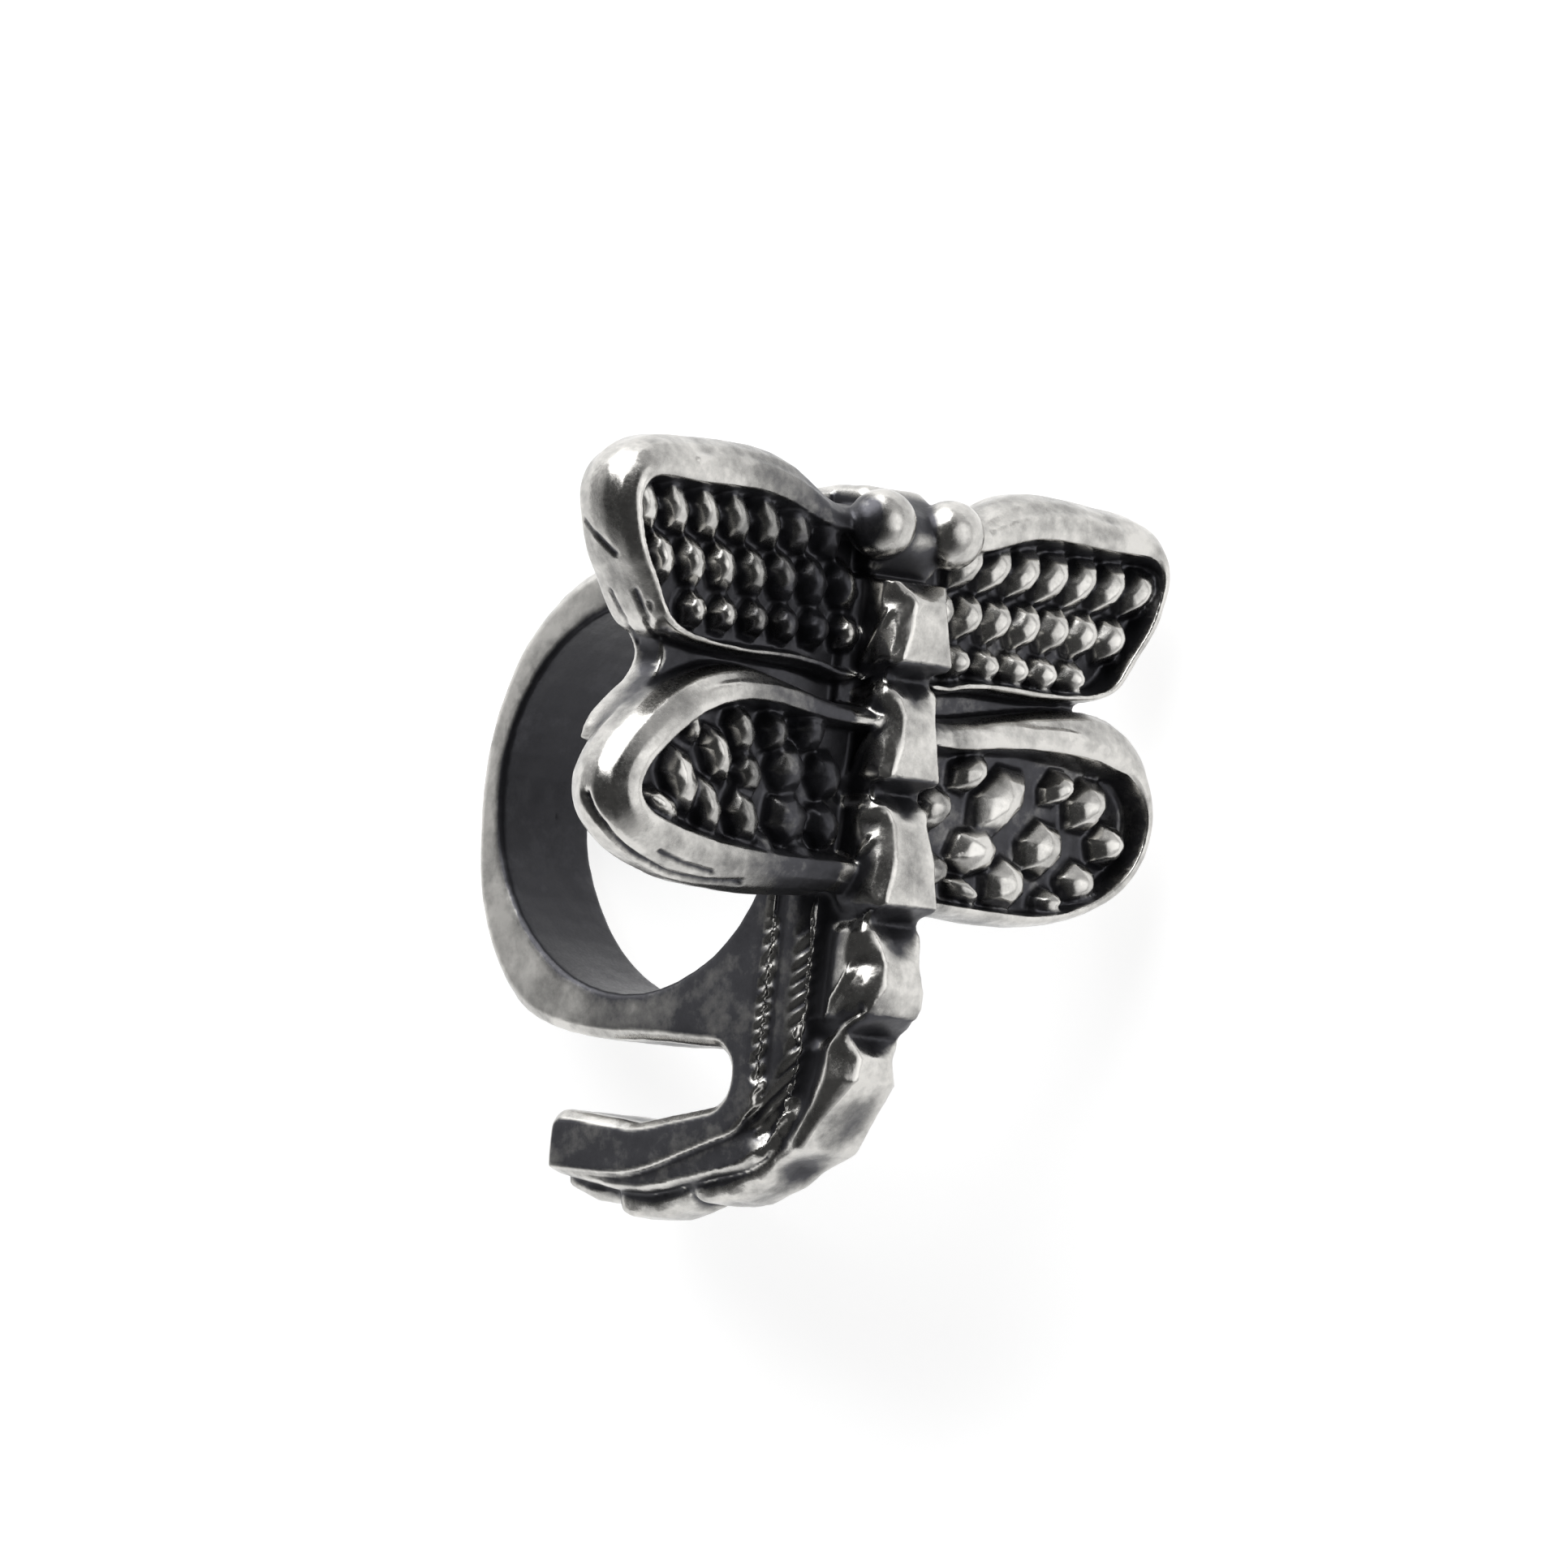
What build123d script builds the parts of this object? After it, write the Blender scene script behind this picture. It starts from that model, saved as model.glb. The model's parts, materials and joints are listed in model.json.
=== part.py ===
from build123d import *
import os
from math import cos, hypot, radians, sin

# A cast silver charm: a dragonfly on the front of a ring that a bracelet strand passes through.
# Upright frame: X runs along the hole, the dragonfly faces +Y, Z is up, and the origin is in
# the middle of the hole. The last step lays the charm on its side, as it rests by itself.

# Ring and spine, in millimetres
bore_d = 4.84           # round hole for the strand
band_w = 1.6            # width of ring and spine along the hole
band_t = 0.55           # wall of the ring at its top
band_ease = 0.12       # easing of the ring's outer edges
bore_ease = 0.05        # easing of the hole's edges
spine_wall = 0.12       # metal left between the hole and the spine's front face
spine_t = 0.94          # thickness of the spine above the ring
spine_rise = 1.43       # top of the spine, above the hole's edge
crook_r = 0.6           # rounded corner where the ring runs up into the spine

# Tail, which curls back under the ring
gap_h = 1.0             # open height between ring and tail
gap_wall = 0.54         # metal left between the gap's front end and the spine's front face
heel_rise = 0.79        # corner of the spine and the tail, above the tail's underside
heel_r = 0.7
tail_neck = 0.67        # thickness of the tail where it levels out
tail_t = 0.76           # thickness of the tail's free end
tail_bend_f = 0.5       # where the tail levels out, ahead of the hole's centre
tail_bend_r = 2.4
tail_end = 1.0          # end of the tail, behind the hole's centre

# Body of the dragonfly, on the front of the spine
bed_hw = 0.7            # half width of the strip that the body stands on
bed_h = 0.56            # how far that strip stands out from the spine
body_hw = 0.56          # half width of the thickest body ring
body_h = 1.6            # how far the thickest body ring stands out from the spine
body_sink = 0.3         # how far the body reaches into the spine
bed_fade = 0.42         # share of the body line along which the strip runs out at the tail
bed_lip = 0.05          # rise of the shallow groove beside the body rings
groove_in = 0.8         # that groove's place as a share of the strip's half width
shoulder_place = 0.55   # where a ring's shoulders are up, from the notch to its top edge
belly_place = 0.45      # where a ring is at its belly, from its top edge to its lip
corner_drop = 0.4       # how far a lip's corners hang down towards the next notch

# Head
head_hw = 0.56
head_out = 1.11         # how far the head stands out from the spine
head_drop = 0.95        # underside of the head, below the spine's top
head_rise = 0.13        # top of the head, above the spine's top
head_round = 0.16
eye_r = 0.43
eye_x = 0.6
eye_out = 0.93          # middle of an eye, ahead of the spine's front face
eye_drop = 0.35         # and below the spine's top

# Wings
wing_t = 1.02           # thickness of a wing at its rolled rim
rim_w = 0.5             # width of the rolled rim along a wing's top edge
field_d = 0.42          # how deep the field inside the rim lies below the rim's crest
relief_d = 0.08         # how deep the tops of the relief lie below the rim's crest
field_top = 0.76        # inset of the field's upper edge, as a share of the rim's width
wing_root = 0.45        # where the wings end inside the body
joint_drop = 2.19       # height at which upper and lower wings meet, below the spine's top
upper_reach = 4.86      # wing tip, from the middle of the charm
upper_h = 2.55
upper_out = 0.38        # middle of the upper wings' thickness, ahead of the spine's front face
lower_reach = 4.76
lower_h = 2.8
lower_out = 0.61
web_t = 0.5             # thickness of the plain web that joins two wings behind their rims
web_sink = 0.04         # how far that web reaches behind the spine's front face
notch_x = 3.6           # bottom of the rounded notch in the web, from the middle of the charm

# Outside of the ring: angle from the front over the top, wall as a share of band_t
ring_rows = (
    (48, 1.30),
    (64, 1.14),
    (90, 1.10),
    (115, 1.08),
    (140, 0.98),
    (160, 0.82),
    (188, 0.80),
    (204, 1.00),
    (221, 1.27),
    (238, 1.42),
    (255, 1.17),
    (272, 1.04),
    (290, 1.10),
)

# Rings of the body. Three places along the body line, as shares of its length: the bottom of the
# notch above the ring, the ring's top edge and its lip. Then how far each stands out at the
# notch, top edge, belly and lip, as shares of body_h, and how wide it flares, of body_hw
body_rows = (
    (0.088, 0.110, 0.175, 0.700, 0.84, 0.86, 0.87, 0.94),
    (0.193, 0.232, 0.300, 0.680, 0.84, 0.87, 0.88, 0.94),
    (0.316, 0.349, 0.436, 0.690, 0.86, 0.95, 0.98, 1.02),
    (0.455, 0.499, 0.556, 0.785, 0.93, 0.97, 0.91, 1.04),
    (0.578, 0.601, 0.660, 0.680, 0.76, 0.76, 0.52, 1.00),
    (0.695, 0.722, 0.786, 0.360, 0.42, 0.43, 0.38, 0.88),
    (0.808, 0.832, 0.896, 0.250, 0.33, 0.34, 0.32, 0.80),
    (0.914, 0.932, 0.990, 0.160, 0.22, 0.22, 0.14, 0.66),
)

# Half sections of a body ring, from the strip to its front: side and height as shares of the
# ring's own half width and of its height above the strip
notch_shares = ((0.96, 0.16), (0.98, 0.74), (0.92, 0.92), (0.76, 1.00), (0.0, 0.76))
shoulder_shares = ((0.95, 0.14), (0.96, 0.52), (0.80, 0.79), (0.58, 0.90), (0.0, 0.80))
edge_shares = ((0.94, 0.14), (0.96, 0.52), (0.74, 0.78), (0.50, 0.98), (0.0, 1.0))
belly_shares = ((0.96, 0.14), (0.98, 0.58), (0.84, 0.83), (0.58, 0.98), (0.0, 1.0))
lip_shares = ((0.99, 0.16), (1.01, 0.52), (0.95, 0.78), (0.82, 0.95), (0.0, 1.0))
corner_shares = ((0.99, 0.16), (1.00, 0.50), (0.93, 0.76), (0.80, 0.84), (0.0, 0.80))

# Wing outlines from the body round the tip: reach and height as shares, width of rim as a share
upper_rows = (
    (0.20, 0.80, 0.80),
    (0.30, 0.86, 1.05),
    (0.38, 0.95, 1.30),
    (0.50, 1.00, 1.35),
    (0.66, 1.00, 1.35),
    (0.80, 0.985, 1.30),
    (0.91, 0.945, 1.10),
    (0.975, 0.85, 0.90),
    (1.00, 0.71, 0.70),
    (0.985, 0.54, 0.60),
    (0.945, 0.38, 0.52),
    (0.885, 0.23, 0.46),
    (0.825, 0.09, 0.40),
    (0.70, 0.02, 0.30),
    (0.50, 0.00, 0.30),
    (0.20, -0.04, 0.30),
)
right_lower_rows = (
    (0.20, 0.13, 0.90),
    (0.40, 0.085, 0.95),
    (0.60, 0.03, 1.25),
    (0.76, 0.01, 1.50),
    (0.86, 0.05, 1.50),
    (0.94, 0.16, 1.20),
    (0.985, 0.30, 0.90),
    (1.00, 0.44, 0.70),
    (0.985, 0.58, 0.60),
    (0.94, 0.72, 0.55),
    (0.855, 0.84, 0.50),
    (0.74, 0.93, 0.45),
    (0.60, 0.985, 0.40),
    (0.44, 1.00, 0.40),
    (0.20, 0.99, 0.40),
)
left_lower_rows = (
    (0.20, 0.13, 0.60),
    (0.40, 0.06, 0.85),
    (0.56, 0.03, 1.00),
    (0.70, 0.08, 1.05),
    (0.81, 0.18, 1.05),
    (0.91, 0.32, 1.05),
    (0.98, 0.47, 1.05),
    (1.00, 0.62, 1.05),
    (0.975, 0.75, 1.10),
    (0.91, 0.86, 1.20),
    (0.81, 0.93, 1.30),
    (0.68, 0.98, 1.35),
    (0.50, 1.00, 1.30),
    (0.20, 0.97, 1.10),
)

# Section through the rolled rim: place across the thickness and inset, both as shares
rim_section = (
    (-0.50, 0.60),
    (-0.40, 0.24),
    (-0.18, 0.02),
    (0.10, 0.00),
    (0.32, 0.14),
    (0.46, 0.42),
    (0.50, 0.64),
)

# Notch in the web between two wings: reach as a share of notch_x, height above the joint as a
# share of the upper wing's height, or below it of the lower wing's
web_rows = (
    (1.10, 0.16),
    (1.02, 0.03),
    (1.00, -0.02),
    (1.01, -0.09),
    (1.06, -0.17),
    (1.12, -0.235),
    (1.18, -0.32),
    (1.21, -0.42),
)

# Relief of the upper wings, row by row: height above the wings' joint, reach of the first scale,
# how many scales, their half length and half width, and how steeply they slant outwards and up
scale_pitch = 0.52
row_lift = 0.07         # how much higher the rows lie on one upper wing, and lower on the other
scale_rows = (
    (1.62, 1.22, 7, 0.44, 0.25, 56),
    (0.98, 0.82, 7, 0.36, 0.25, 64),
    (0.42, 0.70, 6, 0.27, 0.24, 66),
)

# Relief of the lower wings: reach, depth below the wings' joint, half length and half width of
# each pyramid, and how steeply it slants outwards and up
right_pyramids = (
    (3.05, 1.02, 0.30, 0.20, 50),
    (3.62, 1.18, 0.42, 0.32, 50),
    (4.04, 1.62, 0.32, 0.28, 50),
    (1.46, 0.98, 0.36, 0.24, 40),
    (2.06, 1.28, 0.62, 0.38, 42),
    (2.88, 1.78, 0.44, 0.36, 44),
    (3.56, 2.16, 0.36, 0.30, 44),
    (0.88, 1.46, 0.36, 0.30, 40),
    (1.68, 1.92, 0.46, 0.34, 15),
    (2.28, 2.28, 0.40, 0.36, 38),
    (3.04, 2.42, 0.24, 0.18, 38),
    (0.92, 2.24, 0.34, 0.24, 30),
    (1.52, 2.44, 0.30, 0.18, -30),
)
left_pyramids = (
    (3.42, 0.84, 0.34, 0.15, 56),
    (2.52, 0.86, 0.36, 0.24, 60),
    (1.96, 0.82, 0.30, 0.26, 60),
    (1.36, 0.72, 0.32, 0.28, 50),
    (2.88, 1.18, 0.42, 0.24, 58),
    (2.34, 1.36, 0.32, 0.26, 60),
    (1.68, 1.24, 0.36, 0.34, 50),
    (1.02, 1.26, 0.34, 0.30, 50),
    (3.44, 1.54, 0.48, 0.30, 62),
    (3.76, 1.88, 0.42, 0.18, 21),
    (2.98, 1.80, 0.44, 0.24, 62),
    (2.34, 1.88, 0.40, 0.28, 62),
    (1.58, 1.84, 0.40, 0.36, 40),
    (0.96, 1.86, 0.34, 0.28, 40),
    (2.00, 2.24, 0.30, 0.22, 40),
    (1.32, 2.28, 0.30, 0.22, 40),
)

# Section of a scale or pyramid: height above the field and size, both as shares
cell_sides = 6
cell_section = ((-0.15, 1.08), (0.40, 0.90), (0.80, 0.58), (1.0, 0.18))
cell_lean = 0.09        # how far the top of a scale lies outwards from its middle

# How the charm lies: which way points up, as an angle from the hole's axis to the front,
# and how far the head's end is lifted, in degrees
rest_turn = 34.8
rest_rise = 4.1

# Places that follow from those sizes, from the middle of the hole
bore_r = bore_d / 2
gap_top = bore_r + band_t
spine_f = bore_r + spine_wall
spine_back = spine_f - spine_t
spine_top = bore_r + spine_rise
gap_f = spine_f - gap_wall
tail_z = gap_top + gap_h + tail_neck
heel_z = tail_z - heel_rise
head_f = spine_f + head_out
head_low = spine_top - head_drop
head_top = spine_top + head_rise
eye_f = spine_f + eye_out
eye_z = spine_top - eye_drop
joint_z = spine_top - joint_drop
upper_f = spine_f + upper_out
lower_f = spine_f + lower_out

front = Plane(origin=(0, 0, 0), x_dir=(1, 0, 0), z_dir=(0, -1, 0))
side = Plane.YZ

# Line of the body down the front of the spine and under the tail
with BuildLine(side) as body_line:
    FilletPolyline(
        (spine_f, spine_top),
        (spine_f, -heel_z),
        (tail_bend_f, -tail_z),
        (-tail_end, -tail_z),
        radius=(heel_r, tail_bend_r),
    )
body_wire = body_line.wire()

# Ring, spine and tail: one flat-sided plate with the hole for the strand
with BuildPart() as plate:
    with BuildSketch(side.offset(-band_w / 2)) as plate_sketch:
        with BuildLine():
            ring_line = Spline(*[
                (
                    (bore_r + band_t * wall) * cos(radians(angle)),
                    (bore_r + band_t * wall) * sin(radians(angle)),
                )
                for angle, wall in ring_rows
            ])
            Line(ring_line @ 1, ring_line @ 0)
        make_face()
        with BuildLine():
            outer = FilletPolyline(
                (spine_f, spine_top),
                (spine_f, -heel_z),
                (tail_bend_f, -tail_z),
                (-tail_end, -tail_z),
                radius=(heel_r, tail_bend_r),
            )
            inner = FilletPolyline(
                outer @ 1,
                (-tail_end, -tail_z + tail_t),
                (tail_bend_f, -gap_top - gap_h),
                (gap_f, -gap_top - gap_h * 0.66),
                (gap_f, -gap_top),
                (0, -gap_top),
                radius=(tail_t * 0.34, gap_h * 0.8, gap_h * 0.36, gap_h * 0.32),
            )
            Line(inner @ 1, (0, 0))
            Line((0, 0), (spine_back, bore_r))
            Line((spine_back, bore_r), (spine_back, spine_top))
            Line((spine_back, spine_top), (spine_f, spine_top))
        make_face()
        crook = plate_sketch.vertices().sort_by_distance((spine_back, gap_top))[0]
        fillet(crook, radius=crook_r)
        Circle(bore_r, mode=Mode.SUBTRACT)
    extrude(amount=band_w)
    flat_sides = plate.faces().filter_by(Axis.X).group_by(Axis.X)
    for flat_side in (flat_sides[0][0], flat_sides[-1][0]):
        free_edges = flat_side.outer_wire().edges().filter_by(
            lambda edge: body_wire.distance_to(edge @ 0.5) > band_w / 2 + bore_ease
        )
        chamfer(free_edges, length=band_ease)
    bore_edges = plate.edges().filter_by(GeomType.CIRCLE).sort_by(Edge.length)[-2:]
    chamfer(bore_edges, length=bore_ease)


def bed_at(place):
    """Height of the bed strip: full down the front, running out along the tail."""
    return bed_h * min(1, (1 - place) / bed_fade)


def body_section(place, height, half_width, shares):
    """Face across the body line: the bed strip with a body ring's section on it."""
    bed = bed_at(place)
    ring = [(half_width * u, bed + (height - bed) * v) for u, v in shares]
    half = [(bed_hw, -body_sink), (bed_hw, bed), (bed_hw * groove_in, bed + bed_lip)] + ring
    across = Plane(origin=body_wire @ place, x_dir=(1, 0, 0), z_dir=-(body_wire % place))
    with BuildSketch(across) as section:
        with BuildLine():
            Polyline(*half, *[(-u, v) for u, v in reversed(half[:-1])], close=True)
        make_face()
    return section.sketch


# Dragonfly's body: a strip on the spine that carries flared rings, parted by notches
with BuildPart() as body:
    sections = []
    below = [row[0] for row in body_rows[1:]] + [1]
    for row, next_notch in zip(body_rows, below):
        notch, edge, lip, notch_h, edge_h, belly_h, lip_h, flare = row
        shoulder = notch + (edge - notch) * shoulder_place
        belly = edge + (lip - edge) * belly_place
        corner = lip + (next_notch - lip) * corner_drop
        for place, height, shares in (
            (notch, notch_h, notch_shares),
            (shoulder, edge_h, shoulder_shares),
            (edge, edge_h, edge_shares),
            (belly, belly_h, belly_shares),
            (lip, lip_h, lip_shares),
            (corner, lip_h, corner_shares),
        ):
            sections.append(body_section(place, body_h * height, body_hw * flare, shares))
    loft(sections=sections, ruled=True)

# Head behind the two ball eyes
with BuildPart() as head:
    with BuildSketch(side):
        with BuildLine():
            Polyline(
                (spine_back, head_low),
                (head_f - head_round * 2, head_low),
                (head_f, head_low + head_round * 3),
                (head_f - head_round, eye_z + head_round),
                (eye_f - eye_r, head_top),
                (spine_f, head_top),
                (spine_back, spine_top),
                close=True,
            )
        make_face()
    extrude(amount=head_hw, both=True)
    fillet(head.edges(), radius=head_round)
    with Locations(
        Location((eye_x, eye_f, eye_z), (0, 90, 0)),
        Location((-eye_x, eye_f, eye_z), (0, -90, 0)),
    ):
        Sphere(eye_r)


def inset_outline(rows, reach, height, hand, inset):
    """Points of a wing's outline, each moved inwards by a share of the rim's width there."""
    points = [(reach * x, joint_z + height * z) for x, z, rim in rows]
    moved = []
    for index, (x, z) in enumerate(points):
        before = points[max(index - 1, 0)]
        after = points[min(index + 1, len(points) - 1)]
        run = (after[0] - before[0], after[1] - before[1])
        shift = inset * rim_w * rows[index][2] / hypot(*run)
        at_root = index in (0, len(points) - 1)
        moved.append((
            hand * (x + (0 if at_root else run[1] * shift)),
            z - run[0] * shift,
        ))
    return moved


def wing_face(rows, reach, height, hand, inset, forward):
    """Face of a wing's outline at a given distance ahead of the hole's centre."""
    points = inset_outline(rows, reach, height, hand, inset)
    with BuildSketch(front.offset(-forward)) as outline:
        with BuildLine():
            edge = Spline(*points)
            inner_low = (hand * wing_root, points[-1][1])
            inner_high = (hand * wing_root, points[0][1])
            Polyline(edge @ 1, inner_low, inner_high, edge @ 0)
        make_face()
    return outline.sketch


def wing(rows, reach, height, hand, middle):
    """Wing with a rolled rim round a sunken field, without its relief."""
    crest = middle + wing_t / 2
    with BuildPart() as blank:
        loft(
            sections=[
                wing_face(rows, reach, height, hand, inset, middle + wing_t * place)
                for place, inset in rim_section
            ],
            ruled=True,
        )
        loft(
            sections=[
                wing_face(rows, reach, height, hand, field_top, crest + relief_d),
                wing_face(rows, reach, height, hand, 1, crest - field_d),
            ],
            ruled=True,
            mode=Mode.SUBTRACT,
        )
    return blank.part


def cell_outline(x, z, half_long, half_wide, slope, size, forward):
    """Face across a scale at a given distance ahead of the hole's centre."""
    corners = [radians(360 * index / cell_sides) for index in range(cell_sides)]
    points = [(half_long * size * cos(turn), half_wide * size * sin(turn)) for turn in corners]
    with BuildSketch(front.offset(-forward)) as outline:
        with Locations((x, z)):
            Polygon(*points, rotation=slope)
    return outline.sketch


def relief(cells, hand, middle):
    """Raised scales or pyramids on a wing's field, one solid each."""
    crest = middle + wing_t / 2
    rise = field_d - relief_d
    return [
        loft(
            sections=[
                cell_outline(
                    hand * (reach + cell_lean * (1 - size)), z, half_long, half_wide, hand * slope, size,
                    crest - field_d + rise * height,
                )
                for height, size in cell_section
            ],
            ruled=True,
            mode=Mode.PRIVATE,
        )
        for reach, z, half_long, half_wide, slope in cells
    ]


def upper_scales(hand):
    """Rows of scales on an upper wing."""
    return [
        (first + scale_pitch * step, joint_z + row + hand * row_lift, half_long, half_wide, slope)
        for row, first, count, half_long, half_wide, slope in scale_rows
        for step in range(count)
    ]


def lower_pyramids(table):
    """Pyramids on a lower wing, measured down from the wings' joint."""
    return [(reach, joint_z - depth, *shape) for reach, depth, *shape in table]


# Four wings: blank and relief of each
wing_rows = (
    (upper_rows, upper_reach, upper_h, 1, upper_f, upper_scales(1)),
    (upper_rows, upper_reach, upper_h, -1, upper_f, upper_scales(-1)),
    (right_lower_rows, lower_reach, -lower_h, -1, lower_f, lower_pyramids(right_pyramids)),
    (left_lower_rows, lower_reach, -lower_h, 1, lower_f, lower_pyramids(left_pyramids)),
)
with BuildPart() as webs:
    with BuildSketch(front.offset(web_sink - spine_f)):
        with BuildLine():
            notch = Spline(*[
                (notch_x * x, joint_z + (upper_h if z > 0 else lower_h) * z) for x, z in web_rows
            ])
            Polyline(
                notch @ 1,
                (notch_x, joint_z - lower_h / 2),
                (wing_root, joint_z - lower_h / 2),
                (wing_root, joint_z + upper_h / 2),
                (notch_x, joint_z + upper_h / 4),
                notch @ 0,
            )
        make_face()
        mirror(about=Plane.YZ)
    extrude(amount=-web_t)

wings = [wing(rows, reach, height, hand, middle) for rows, reach, height, hand, middle, cells in wing_rows]
reliefs = [relief(cells, hand, middle) for *outline, hand, middle, cells in wing_rows]
with BuildPart() as charm_casting:
    add(plate.part)
    add([webs.part, body.part, head.part, *wings])
    add([cell for cells in reliefs for cell in cells])

# Lay the charm on the side that it settles on, with the middle of its box as the origin
level = Vector(cos(radians(rest_turn)), sin(radians(rest_turn)), 0)
up = level * cos(radians(rest_rise)) + Vector(0, 0, sin(radians(rest_rise)))
rest_plane = Plane(origin=(0, 0, 0), x_dir=Vector(0, 0, 1).cross(up), z_dir=up)
upright = charm_casting.part
lying = rest_plane.to_local_coords(upright)
box = lying.bounding_box()
floor_point = Vector((box.min.X + box.max.X) / 2, (box.min.Y + box.max.Y) / 2, box.min.Z)
resting = lying.moved(Location(-floor_point))
resting.label = "charm_casting"

os.makedirs("parts", exist_ok=True)
export_step(resting, "parts/charm_casting.step")
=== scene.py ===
# %% [markdown]
# # A dragonfly charm in oxidised silver
# The real charm is one small lost-wax casting, under ten millimetres tall: a dragonfly on the front of
# a ring. The ring slides over a bracelet strand. This lesson takes the exact solid, gives it the soft
# edges of a casting, leaves its hollows dark as liver of sulphur does, and lights it like a jeweller's
# photograph.

import json
from math import cos, radians, sin

import bpy
import numpy as np
from mathutils import Matrix, Vector


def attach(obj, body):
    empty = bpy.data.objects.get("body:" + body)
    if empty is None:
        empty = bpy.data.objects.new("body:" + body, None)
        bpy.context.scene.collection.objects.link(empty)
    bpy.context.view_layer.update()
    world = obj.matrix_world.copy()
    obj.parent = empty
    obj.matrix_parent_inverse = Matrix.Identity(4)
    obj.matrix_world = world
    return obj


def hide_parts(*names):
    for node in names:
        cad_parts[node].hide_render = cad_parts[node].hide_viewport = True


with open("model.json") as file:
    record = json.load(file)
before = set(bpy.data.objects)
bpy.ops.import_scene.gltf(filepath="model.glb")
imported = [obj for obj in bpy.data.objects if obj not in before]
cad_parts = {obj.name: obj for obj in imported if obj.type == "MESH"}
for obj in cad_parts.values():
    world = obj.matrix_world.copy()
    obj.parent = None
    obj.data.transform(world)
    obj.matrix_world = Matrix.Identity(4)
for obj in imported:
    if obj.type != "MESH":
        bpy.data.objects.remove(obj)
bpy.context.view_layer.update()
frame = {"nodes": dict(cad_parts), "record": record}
casting = frame["nodes"]["charm_casting"]
print("casting triangles", len(casting.data.polygons))

# %% [markdown]
# ## Two ways up
# The charm lies on its side, as it does on a table, but it is easier to think of it upright: X runs
# along the hole, the dragonfly faces +Y, Z is up, and the middle of the hole is zero. Blender's voxels
# can't be smaller than 0.0001 of a unit. At real size that is a tenth of a millimetre, too coarse for
# this skin. So the work is done upright with one unit to the millimetre, and the finished piece is
# laid down at the end.

# %% The turn from upright millimetres to the table
MM = 0.001
rest_turn = radians(34.8)
rest_rise = radians(4.1)
table_up = Vector((cos(rest_turn) * cos(rest_rise), sin(rest_turn) * cos(rest_rise), sin(rest_rise)))
table_x = Vector((0, 0, 1)).cross(table_up).normalized()
table_y = table_up.cross(table_x)
strand_hole = frame["record"]["mounts"][0]
hole_middle = Vector(strand_hole["pos_m"])
turn_down = Matrix((table_x, table_y, table_up))
lay_down = Matrix.Translation(hole_middle) @ turn_down.to_4x4() @ Matrix.Scale(MM, 4)
print("middle of the hole above the table in mm", round(hole_middle.z / MM, 2))

# %% [markdown]
# ## The camera
# The photograph was taken from 45.5 degrees round from the dragonfly's face and two degrees below it,
# through a long lens. The camera could be aimed by eye at the charm on the table. Here it is found for
# the upright charm and goes down with it, so the picture shows the same side, with the table behind.

# %% Place the camera
frame_px = 1932
focal_px = 12800
sensor_mm = 36
view_turn = radians(45.5)
view_rise = radians(-2.0)
view_roll = radians(6.0)
view_distance_mm = 128
centre_right_mm = 1.24
centre_up_mm = 0.23
nearest_seen_mm = 10

towards = Vector((sin(view_turn) * cos(view_rise), cos(view_turn) * cos(view_rise), sin(view_rise)))
level_right = Vector((-cos(view_turn), sin(view_turn), 0))
level_up = towards.cross(level_right)
picture_right = level_right * cos(view_roll) + level_up * sin(view_roll)
picture_up = level_up * cos(view_roll) - level_right * sin(view_roll)

bpy.ops.object.camera_add()
camera = bpy.context.object
camera.name = "photo_camera"
camera.data.sensor_width = sensor_mm
camera.data.lens = focal_px / frame_px * sensor_mm
camera.data.clip_start = nearest_seen_mm * MM
eye = towards * view_distance_mm + picture_right * centre_right_mm + picture_up * centre_up_mm
camera_turn = turn_down @ Matrix((picture_right, picture_up, towards)).transposed()
camera.matrix_world = Matrix.Translation(lay_down @ eye) @ camera_turn.to_4x4()
bpy.context.scene.camera = camera
print("camera height above the table in mm", round(camera.location.z / MM))

# %% [markdown]
# ## From exact solid to casting
# Wax and molten silver leave no knife edges. A bevel would need clean edges to follow, and the solid is
# loose triangles. A voxel remesh rebuilds the skin as an even net instead, which a few smoothing passes
# then soften all over. The node itself is left as it is: a copy is worked on.

# %% Copy the casting and stand it upright
merge_mm = 0.0005


def only(piece):
    """Selects one object alone and makes it the active one."""
    bpy.ops.object.select_all(action="DESELECT")
    piece.select_set(True)
    bpy.context.view_layer.objects.active = piece


charm = bpy.data.objects.new("silver_charm", casting.data.copy())
bpy.context.scene.collection.objects.link(charm)
charm.data.transform(lay_down.inverted())
only(charm)
bpy.ops.object.mode_set(mode="EDIT")
bpy.ops.mesh.select_all(action="SELECT")
bpy.ops.mesh.remove_doubles(threshold=merge_mm)
bpy.ops.object.mode_set(mode="OBJECT")
print("points of the merged copy", len(charm.data.vertices))

# %% Remesh and soften
skin_mm = 0.035
half_way = 0.5
soft_passes = 3


def apply_modifier(piece, kind, **settings):
    """Adds a modifier with its settings and applies it at once."""
    only(piece)
    modifier = piece.modifiers.new(kind.lower(), kind)
    for name, value in settings.items():
        setattr(modifier, name, value)
    bpy.ops.object.modifier_apply(modifier=modifier.name)


apply_modifier(charm, "REMESH", mode="VOXEL", voxel_size=skin_mm)
apply_modifier(charm, "SMOOTH", factor=half_way, iterations=soft_passes)
print("skin faces", len(charm.data.polygons))

# %% [markdown]
# ## Wavy skin
# A wax model is carved and filed by hand, and the metal shrinks a little as it sets. So no face of a
# casting is quite flat, and every reflection wobbles. Sculpting each dent would take hours. A cloud
# texture pushes the skin in and out by about a hundredth of a millimetre instead: broad dents first,
# then smaller ones.

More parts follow.
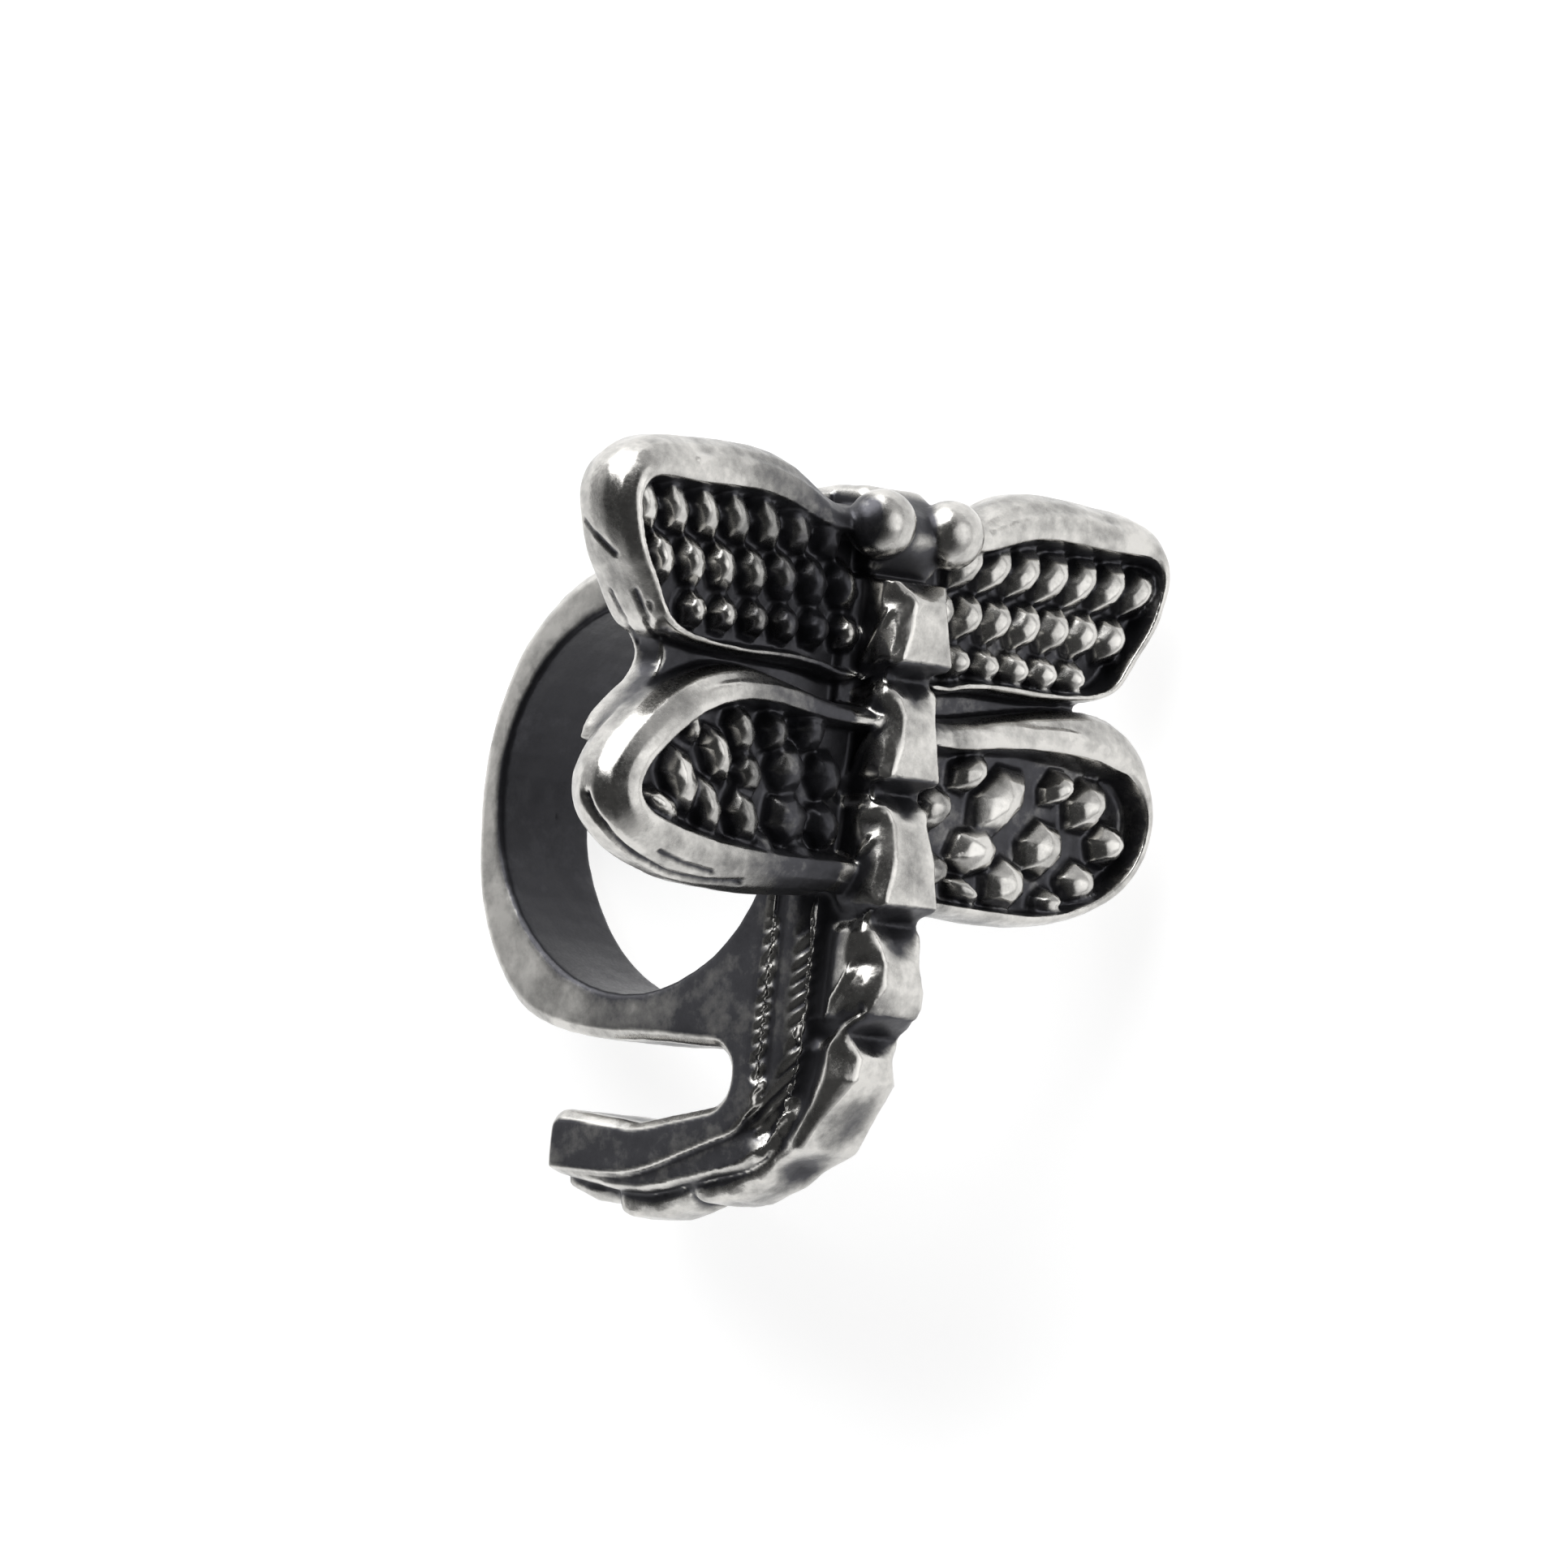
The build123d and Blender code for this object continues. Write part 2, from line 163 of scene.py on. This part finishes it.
# %% Dent the skin
def dent(piece, size_mm, depth_mm):
    """Pushes the skin in and out by a cloud pattern of one size."""
    clouds = bpy.data.textures.new("dents", "CLOUDS")
    clouds.noise_scale = size_mm
    clouds.noise_depth = 1
    apply_modifier(piece, "DISPLACE", texture=clouds, strength=depth_mm, mid_level=half_way)


dent(charm, size_mm=0.9, depth_mm=0.03)
dent(charm, size_mm=0.25, depth_mm=0.012)
print("dented box in mm", [round(side, 2) for side in charm.dimensions])

# %% [markdown]
# ## Marks of the hand
# The cuts that part the body's rings run on down both flanks, and a low ridge crosses the upper four.
# Another runs along the top of every wing's rim. Beside the body are two steps, the strip that it
# stands on and the front of the spine, and their corners are scraped to a slope. The near lower wing
# has a seam where the wax was joined, which nobody filed away, and the near upper wing has a few
# strokes of the file on its outer side. A solid could cut each mark, but with edges harder than wax
# takes. So each is a short line of places on the upright charm. The skin sinks in near it, as if a fine
# round tool had been drawn along, or rises for a ridge.

# %% A round tool drawn along a line
def coordinates(piece):
    """Vertex places of a mesh as an array."""
    flat = np.empty(len(piece.data.vertices) * 3, np.float32)
    piece.data.vertices.foreach_get("co", flat)
    return flat.reshape(-1, 3)


def facing(piece):
    """Vertex normals of a mesh as an array."""
    flat = np.empty(len(piece.data.vertices) * 3, np.float32)
    piece.data.vertices.foreach_get("normal", flat)
    return flat.reshape(-1, 3)


def move_skin(piece, places):
    """Puts the vertices of a mesh at new places."""
    piece.data.vertices.foreach_set("co", places.ravel())
    piece.data.update()


def distance_to_line(places, line):
    """How far each place is from a line through a few points."""
    nearest = np.full(len(places), np.inf)
    for start, end in zip(np.array(line[:-1]), np.array(line[1:])):
        along = end - start
        part_way = np.clip((places - start) @ along / (along @ along), 0, 1)
        nearest = np.minimum(nearest, np.linalg.norm(places - start - part_way[:, None] * along, axis=1))
    return nearest


def sink(piece, line, width_mm, depth_mm):
    """Draws a round tool of some width along a line, or raises a ridge where the depth is negative."""
    places = coordinates(piece)
    depth = depth_mm * np.exp(-(distance_to_line(places, line) / width_mm) ** 2)
    move_skin(piece, places - facing(piece) * depth[:, None])


# %% Lines on the body and beside it, on the near side
flank_notches = (
    ((0.45, 3.66, 1.71), (0.51, 3.51, 1.65), (0.53, 3.28, 1.59)),
    ((0.45, 3.68, 0.28), (0.56, 3.51, 0.27), (0.56, 3.25, 0.24)),
    ((0.52, 3.82, -1.22), (0.57, 3.63, -1.25), (0.58, 3.30, -1.28)),
    ((0.50, 3.85, -2.40), (0.57, 3.55, -2.55), (0.56, 3.22, -2.72)),
)
flank_ridges = (
    ((0.53, 3.28, 1.76), (0.50, 3.45, 2.10), (0.46, 3.62, 2.45)),
    ((0.56, 3.26, 0.42), (0.53, 3.46, 0.80), (0.47, 3.66, 1.15)),
    ((0.58, 3.32, -1.08), (0.56, 3.52, -0.70), (0.50, 3.74, -0.30)),
    ((0.58, 3.30, -2.50), (0.58, 3.50, -2.15), (0.56, 3.72, -1.75)),
)
strip_corner = ((0.70, 3.10, -0.90), (0.70, 3.10, -3.00), (0.70, 2.98, -3.45), (0.70, 2.66, -3.90))
spine_corner = ((0.80, 2.54, -0.90), (0.80, 2.54, -3.20))
print("body lines", len(flank_notches) + len(flank_ridges) + 2, "on each side")

# %% Lines on the near wings
rim_ridges = (
    ((1.45, 3.40, 3.70), (1.96, 3.41, 3.86), (2.51, 3.40, 3.98), (3.20, 3.37, 4.02), (3.70, 3.40, 3.94)),
    ((0.95, 3.61, 1.20), (1.70, 3.58, 1.34), (2.24, 3.62, 1.34), (2.94, 3.65, 1.32), (3.60, 3.66, 1.20)),
)
long_seam = (
    (4.74, 3.11, -0.20), (4.56, 3.27, -0.54), (4.13, 3.32, -0.82),
    (3.51, 3.32, -1.00), (2.96, 3.40, -1.05), (2.42, 3.49, -1.02),
)
short_seam = ((3.82, 3.53, -0.78), (3.40, 3.53, -0.88), (2.94, 3.54, -0.94))
file_strokes = (
    ((4.73, 2.58, 3.04), (4.71, 2.84, 2.84), (4.61, 3.04, 2.67)),
    ((4.29, 2.71, 2.25), (4.07, 2.77, 1.95), (3.66, 2.60, 1.71)),
    ((4.30, 3.13, 2.26), (4.08, 3.15, 1.98), (3.69, 2.99, 1.75)),
    ((4.17, 3.26, 2.12), (3.68, 3.09, 1.76)),
)
print("ridges on the rims", len(rim_ridges), "strokes of the file", len(file_strokes))

# %% Draw them all
# Each row: the lines, the tool's width and its depth in millimetres
marks_on_both_sides = (
    (flank_notches, 0.12, 0.11),
    (flank_ridges, 0.05, -0.035),
    (rim_ridges, 0.06, -0.035),
    ((strip_corner,), 0.24, 0.16),
    ((spine_corner,), 0.12, 0.09),
)
marks_on_near_side = (
    ((long_seam,), 0.05, 0.07),
    ((short_seam,), 0.04, 0.04),
    (file_strokes, 0.04, 0.03),
)


def on_both_sides(line):
    """The line and its mirror image on the other side of the body."""
    return line, tuple((-x, y, z) for x, y, z in line)


for lines, width_mm, depth_mm in marks_on_both_sides:
    for near_line in lines:
        for line in on_both_sides(near_line):
            sink(charm, line, width_mm, depth_mm)
for lines, width_mm, depth_mm in marks_on_near_side:
    for line in lines:
        sink(charm, line, width_mm, depth_mm)
print("marked box in mm", [round(side, 2) for side in charm.dimensions])

# %% [markdown]
# ## Chased ledges
# In the photograph the two narrow ledges beside the body catch the light as a wavy white band and a
# dotted line, as metal does that a small punch has gone over. The punch marks could be set one by one.
# A sine wave along the ledge stands for them here, and its pace varies a little, as a hand's does.

# %% Chase the ledges
wave_mm = 0.2
wave_depth_mm = 0.03
uneven_pace = 0.3


def share(values, low, high):
    """Maps values to 0 at the low end and 1 at the high end."""
    return np.clip((values - low) / (high - low), 0, 1)


def ledge_share(places, normals):
    """How much of a ledge each point is, from 0 to 1."""
    from_middle = np.abs(places[:, 0])
    not_sawn = share(np.abs(normals[:, 0]), 0.95, 0.8)
    past_body = share(from_middle, 0.5, 0.58)
    within_spine = share(from_middle, 0.9, 0.84)
    in_front = share(places[:, 1], 2.3, 2.45)
    below_wings = share(places[:, 2], -1.2, -1.5)
    return (not_sawn * past_body) * (within_spine * in_front) * below_wings


places = coordinates(charm)
normals = facing(charm)
along_ledge = (places[:, 1] - places[:, 2]) / wave_mm
punch = np.sin(2 * np.pi * (along_ledge + uneven_pace * np.sin(along_ledge)))
waves = wave_depth_mm * punch * ledge_share(places, normals)
move_skin(charm, places + normals * waves[:, None])
print("points on the ledges", int((ledge_share(places, normals) > half_way).sum()))

# %% [markdown]
# ## Where the black stays
# Oxidised silver is dipped until it is black all over and then polished. Cloth and rubber reach the
# high parts and miss the hollows. Blender's own pointiness value sees only the finest edges, so height
# is measured instead: the skin is smoothed very much, and each point lies above or below that smoothed
# skin. Three sizes of smoothing tell sharp edges, scales and whole wing fields apart.

# %% Measure how high each point stands
edge_reach_mm = 0.08
scale_reach_mm = 0.3
field_reach_mm = 0.6


def standing(piece, reach_mm):
    """How far each point stands above the skin when it is smoothed over some reach, in millimetres."""
    passes = round((reach_mm / skin_mm) ** 2 * 2)
    smoothed = piece.copy()
    smoothed.data = piece.data.copy()
    bpy.context.scene.collection.objects.link(smoothed)
    apply_modifier(smoothed, "SMOOTH", factor=half_way, iterations=passes)
    height = ((coordinates(piece) - coordinates(smoothed)) * facing(piece)).sum(axis=1)
    bpy.data.objects.remove(smoothed)
    return height


edge_height = standing(charm, edge_reach_mm)
scale_height = standing(charm, scale_reach_mm)
field_height = standing(charm, field_reach_mm)
for name, height in (("edges", edge_height), ("scales", scale_height), ("fields", field_height)):
    print(name, np.percentile(height, [2, 25, 50, 75, 98]).round(3))

# %% Polish what stands high
high_parts = share(field_height, -0.03, 0.055)
scale_tops = share(scale_height, -0.03, 0.03)
sharp_edges = share(edge_height, 0.002, 0.016)
sharp_creases = share(edge_height, -0.002, -0.014)
polish_and_painted_light = 0.8 * high_parts + 0.15 * scale_tops
polish_and_painted_light += 0.5 * sharp_edges - 0.4 * sharp_creases
print("polish by height alone", np.percentile(polish_and_painted_light, [5, 25, 50, 75, 95]).round(2))

# %% [markdown]
# Some places have a rule of their own. On the body each ring gets a painted highlight on its shoulder and
# painted shade under its lip, which faces the tail. The wings get painted shade towards the body, which
# shades them, more so on the near side. The ledges are bright. The sawn flat sides keep a fine dark satin,
# except round the back of the ring, which rubs on the wearer's cuff. The wall of the hole is painted near
# black: painted shade inside it, on top of its patina.

# %% Rub the body's rings, with a painted highlight on each shoulder and painted shade under each lip
places = coordinates(charm)
normals = facing(charm)
from_middle = np.abs(places[:, 0])
sideways = np.abs(normals[:, 0])
forward = places[:, 1]
upward = places[:, 2]

ring_polish = 0.5
lip_shade = 0.75
on_body = share(from_middle, 0.64, 0.60) * share(upward, 3.0, 2.8)
on_body *= np.maximum(share(forward, 3.12, 3.2), share(upward, -3.4, -3.6))
tail_turn = share(upward, -2.9, -4.0) * np.pi / 2
towards_tail = -normals[:, 1] * np.sin(tail_turn) - normals[:, 2] * np.cos(tail_turn)
# Painted highlight: the side of each ring that faces away from the tail is made bright
painted_shoulder_highlight = on_body * share(towards_tail, -0.12, -0.3) * share(sideways, 0.3, 0.5)
# Painted shade: the faces under each lip, which face the tail, are darkened on top of their patina
under_lip_painted_shade = share(towards_tail, 0.25, 0.6)
polish_and_painted_light = np.maximum(polish_and_painted_light, on_body * ring_polish * share(scale_height, -0.04, 0.02))
polish_and_painted_light = np.maximum(polish_and_painted_light, painted_shoulder_highlight)
polish_and_painted_light *= 1 - lip_shade * on_body * under_lip_painted_shade
polish_and_painted_light = np.clip(polish_and_painted_light, 0, 1)
print("points on the body", int((on_body > half_way).sum()))

# %% Paint shade on the wings towards the body
wing_shade = 0.75
least_near = 0.22
least_far = 0.36
near_side = places[:, 0] > 0
on_wing = share(from_middle, 0.84, 0.9) * share(upward, -2.6, -2.3) * share(forward, 2.2, 2.4)
# Painted shade: the wings are darkened towards the body, which shades them, over a longer reach on the near
# side
out_of_body_shade = np.where(near_side, share(from_middle, 1.2, 3.4), share(from_middle, 0.2, 1.4))
polish_and_painted_light *= 1 - on_wing * wing_shade * (1 - out_of_body_shade)
polish_and_painted_light = np.maximum(polish_and_painted_light, np.where(near_side, least_near, least_far) * on_wing)
print("points on the wings", int((on_wing > half_way).sum()))

# %% Ledges, sawn sides and the hole
side_satin = 0.36
hole_shade = 0.92
round_back = share(forward, 1.2, -1.6) * share(upward, -3.3, -3.0)
flat_side = share(sideways, 0.88, 0.97) * share(from_middle, 0.86, 0.83)
flat_side *= share(from_middle, 0.64, 0.68) * share(forward, 3.16, 3.10)
in_hole = share(np.hypot(forward, upward), 2.56, 2.44) * share(from_middle, 0.84, 0.78)
side_polish = side_satin + (1 - side_satin) * round_back
polish_and_painted_light = np.maximum(polish_and_painted_light, ledge_share(places, normals))
polish_and_painted_light = polish_and_painted_light * (1 - flat_side) + side_polish * flat_side
# Painted shade: the wall of the hole is darkened, on top of its patina
polish_and_painted_light *= 1 - hole_shade * in_hole
print("polish_and_painted_light", np.percentile(polish_and_painted_light, [5, 25, 50, 75, 95]).round(2))


# %% Keep the polish in the mesh
def keep_in_mesh(piece, name, values):
    """Stores one value for each point, under a name that the material can read."""
    attribute = piece.data.attributes.new(name, "FLOAT", "POINT")
    attribute.data.foreach_set("value", values.astype(np.float32))


# The polish value carries the patina and wear, and also the painted highlights and painted shade set above
keep_in_mesh(charm, "polish_and_painted_light", polish_and_painted_light)
keep_in_mesh(charm, "matte_side", flat_side)
print("values kept", [attribute.name for attribute in charm.data.attributes if attribute.domain == "POINT"])

# %% [markdown]
# ## Thin and lay down
# The even net has far more triangles than the flat faces need. A coarser voxel would lose the scales.
# Decimate collapses the edges that matter least to the form instead, and carries the polish values
# along. Then the charm goes from upright millimetres to its place on the table, where it takes over
# from the plain node.

# %% Thin the net where it is flat
triangle_limit = 190000


def triangle_count(piece):
    """How many triangles the faces of a mesh make."""
    return sum(len(face.vertices) - 2 for face in piece.data.polygons)


kept_share = min(1, triangle_limit / triangle_count(charm))
apply_modifier(charm, "DECIMATE", decimate_type="COLLAPSE", ratio=kept_share)
only(charm)
bpy.ops.object.shade_smooth()
print("charm triangles", triangle_count(charm))

# %% Lay the piece down
charm.data.transform(lay_down)
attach(charm, "root")
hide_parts("charm_casting")
print("charm box in mm", [round(side / MM, 2) for side in charm.dimensions])

# %% [markdown]
# ## The silver
# This is sterling silver, cast in plaster, tumbled, dipped in liver of sulphur and polished with a
# cloth. Tumbling leaves a soft shine with broad lights rather than a mirror. The dip leaves a thin dark
# film: thick in the hollows, where it looks like soft charcoal, and rubbed away on the high parts,
# where the bare silver shows. Two materials could be masked together, but one that follows the polish
# value blends better: it drives the colour, the roughness and how metallic the surface is. Two noises,
# six tenths and a sixth of a millimetre wide, break up the border, because a cloth never wipes evenly.
# The plaster's grain, a few hundredths of a millimetre, gives the satin.

# %% Helpers for materials
def linear(hex_colour):
    """Linear colour from an sRGB hex value."""
    parts = [int(hex_colour[place:place + 2], 16) / 255 for place in (1, 3, 5)]
    return [c / 12.92 if c <= 0.04045 else ((c + 0.055) / 1.055) ** 2.4 for c in parts] + [1]


def per_mm(count):
    """Noise scale for a pattern that repeats so many times in a millimetre."""
    return count / MM


def add_node(tree, kind, settings=None, in_order=(), **by_name):
    """Adds a node, sets its properties, and sets or links its inputs, in order or by name."""
    made = tree.nodes.new(kind)
    for name, value in (settings or {}).items():
        setattr(made, name, value)
    inputs = dict(enumerate(in_order))
    inputs.update((name.replace("_", " "), value) for name, value in by_name.items())
    for key, value in inputs.items():
        if isinstance(value, bpy.types.NodeSocket):
            tree.links.new(value, made.inputs[key])
        else:
            made.inputs[key].default_value = value
    return made


# %% Start the silver's nodes
silver = bpy.data.materials.new("oxidised_sterling_silver")
silver.use_nodes = True
tree = silver.node_tree
shader = tree.nodes["Principled BSDF"]
where = add_node(tree, "ShaderNodeTexCoord").outputs["Object"]
# The polish value holds painted highlights and painted shade as well as the patina and wear
polish_and_painted_light_fac = add_node(tree, "ShaderNodeAttribute", {"attribute_name": "polish_and_painted_light"}).outputs["Fac"]
sawn = add_node(tree, "ShaderNodeAttribute", {"attribute_name": "matte_side"}).outputs["Fac"]
print("nodes to start with", len(tree.nodes))

# %% Smears and patches of the cloth
smears_per_mm = 6
patches_per_mm = 1.7
smears = add_node(tree, "ShaderNodeTexNoise", Vector=where,
                  Scale=per_mm(smears_per_mm), Detail=4.0, Roughness=0.65)
smear_amount = add_node(tree, "ShaderNodeMapRange", Value=smears.outputs["Fac"],
                        From_Min=0.3, From_Max=0.7, To_Min=-0.10, To_Max=0.10)
patches = add_node(tree, "ShaderNodeTexNoise", Vector=where,
                   Scale=per_mm(patches_per_mm), Detail=3.0, Roughness=0.5)
patch_amount = add_node(tree, "ShaderNodeMapRange", Value=patches.outputs["Fac"],
                        From_Min=0.35, From_Max=0.65, To_Min=-0.20, To_Max=0.06)
both_noises = add_node(tree, "ShaderNodeMath", {"operation": "ADD"},
                       (smear_amount.outputs[0], patch_amount.outputs[0]))
worn_and_painted_light = add_node(tree, "ShaderNodeMath", {"operation": "ADD", "use_clamp": True},
                (polish_and_painted_light_fac, both_noises.outputs[0]))
print("smears in mm", round(1 / smears_per_mm, 2), "patches in mm", round(1 / patches_per_mm, 2))

# %% Colour from charcoal to bare silver
silver_stops = ((0.0, "#343438"), (0.3, "#46464a"), (0.6, "#868583"), (1.0, "#cfcdc9"))
colour = add_node(tree, "ShaderNodeValToRGB", Fac=worn_and_painted_light.outputs[0])
ramp = colour.color_ramp
for place, _ in silver_stops[1:-1]:
    ramp.elements.new(place)
for stop, (place, hex_colour) in zip(ramp.elements, silver_stops):
    stop.position = place
    stop.color = linear(hex_colour)
print("colour stops", [round(stop.position, 2) for stop in ramp.elements])

# %% Roughness, grain and film
film_rough = 0.38
silver_rough = 0.18
sawn_rough = 0.25
grain_per_mm = 22
grain_mm = 0.004
film_metal = 0.75
rubbed_through = 0.5
grain = add_node(tree, "ShaderNodeTexNoise", Vector=where,
                 Scale=per_mm(grain_per_mm), Detail=3.0, Roughness=0.7)
rubbed_rough = add_node(tree, "ShaderNodeMapRange", Value=worn_and_painted_light.outputs[0],
                        From_Min=0.0, From_Max=1.0, To_Min=film_rough, To_Max=silver_rough)
grain_rough = add_node(tree, "ShaderNodeMapRange", Value=grain.outputs["Fac"],
                       From_Min=0.3, From_Max=0.7, To_Min=-0.05, To_Max=0.08)
rough = add_node(tree, "ShaderNodeMath", {"operation": "ADD", "use_clamp": True},
                 (rubbed_rough.outputs[0], grain_rough.outputs[0]))
rough_with_sides = add_node(tree, "ShaderNodeMath", {"operation": "MULTIPLY_ADD", "use_clamp": True},
                            (sawn, sawn_rough, rough.outputs[0]))
relief = add_node(tree, "ShaderNodeBump", Strength=0.35, Distance=grain_mm * MM,
                  Height=grain.outputs["Fac"])
film = add_node(tree, "ShaderNodeMapRange", Value=worn_and_painted_light.outputs[0],
                From_Min=0.0, From_Max=rubbed_through, To_Min=film_metal, To_Max=1.0)
print("grain in mm", round(1 / grain_per_mm, 3))

# %% Dress the charm in it
tree.links.new(film.outputs[0], shader.inputs["Metallic"])
tree.links.new(colour.outputs["Color"], shader.inputs["Base Color"])
tree.links.new(rough_with_sides.outputs[0], shader.inputs["Roughness"])
tree.links.new(relief.outputs["Normal"], shader.inputs["Normal"])
charm.data.materials.clear()
charm.data.materials.append(silver)
print("silver nodes", len(tree.nodes))

# %% [markdown]
# ## Opal sheet
# Polished silver shows what stands round it more than it shows itself. Small jewellery is laid on a
# sheet of opal acrylic, cast with a white filler and lit from below. Its satin face mirrors nothing, so
# the eye sees one even glow. A plane with some emission does the same, and is set just bright enough
# to come out white.

# %% Lay the opal sheet
sheet_mm = 600
sheet_satin = 0.6
sheet_glow = 0.78
bpy.ops.mesh.primitive_plane_add(size=sheet_mm * MM)
sheet = bpy.context.object
sheet.name = "opal_sheet"
opal = bpy.data.materials.new("lit_opal_acrylic")
opal.use_nodes = True
opal_shader = opal.node_tree.nodes["Principled BSDF"]
opal_shader.inputs["Base Color"].default_value = linear("#b4b4b4")
opal_shader.inputs["Roughness"].default_value = sheet_satin
opal_shader.inputs["Emission Color"].default_value = linear("#ffffff")
opal_shader.inputs["Emission Strength"].default_value = sheet_glow
sheet.data.materials.append(opal)
print("opal sheet", sheet_mm, "mm wide")

# %% [markdown]
# ## Lamp and tent
# Round the sheet stands a pale tent with an opening for the camera. The pale cloth lights the faces and
# rims, and the dark opening gives the deep greys between them. A strong lamp shines through a small
# part of the roof, a little to the left, and draws the white streaks. The cloth at the right of the
# camera glows too and lights the fronts of the body's rings. The tent could be a mesh with lamps
# behind it. Here it is painted into the world's light, which gives the same reflections with less
# noise. One soft lamp inside it, on the left, sharpens the brightest lights.

# %% Hang the lamp
def hang_soft_box(name, right, up, near, width, height, watts):
    """An area light placed by the picture's own directions, in millimetres from the hole's middle."""
    bpy.ops.object.light_add(type="AREA")
    lamp = bpy.context.object
    lamp.name = name
    lamp.data.shape = "RECTANGLE"
    lamp.data.size = width * MM
    lamp.data.size_y = height * MM
    lamp.data.energy = watts
    place = picture_right * right + picture_up * up + towards * near
    aim = turn_down @ place
    lamp.rotation_euler = aim.to_track_quat("Z", "Y").to_euler()
    lamp.location = hole_middle + aim * MM
    print(name, "is at a distance in mm of", round(place.length))


hang_soft_box("left_lamp", right=-62, up=52, near=60, width=30, height=24, watts=0.009)

# %% Start the tent
tent = bpy.data.worlds.new("light_tent")
bpy.context.scene.world = tent
tent.use_nodes = True
sky = tent.node_tree
direction = add_node(sky, "ShaderNodeTexCoord").outputs["Generated"]


def tent_glow(right, up, near, outer, inner, outer_glow, inner_glow):
    """Glow round one direction of the picture, from an outer to an inner angle, both as cosines."""
    aim = turn_down @ (picture_right * right + picture_up * up + towards * near).normalized()
    nearness = add_node(sky, "ShaderNodeVectorMath", {"operation": "DOT_PRODUCT"}, (direction, aim))
    glow = add_node(sky, "ShaderNodeMapRange", {"interpolation_type": "SMOOTHSTEP"},
                    Value=nearness.outputs["Value"], From_Min=outer, From_Max=inner,
                    To_Min=outer_glow, To_Max=inner_glow)
    return glow.outputs[0]


# %% Cloth, opening, roof and right wall
cloth = tent_glow(right=-0.5, up=0, near=1, outer=0.10, inner=0.70, outer_glow=0.66, inner_glow=0.06)
roof = tent_glow(right=-0.42, up=0.88, near=0.22, outer=0.84, inner=0.90, outer_glow=0.0, inner_glow=4.5)
wall = tent_glow(right=0.72, up=0.1, near=0.68, outer=0.80, inner=0.95, outer_glow=0.0, inner_glow=0.9)
with_roof = add_node(sky, "ShaderNodeMath", {"operation": "ADD"}, (cloth, roof))
whole_glow = add_node(sky, "ShaderNodeMath", {"operation": "ADD"}, (with_roof.outputs[0], wall))
sky.nodes["Background"].inputs["Color"].default_value = linear("#ffffff")
sky.links.new(whole_glow.outputs[0], sky.nodes["Background"].inputs["Strength"])
bpy.context.scene.view_settings.view_transform = "Standard"
print("tent nodes", len(sky.nodes))
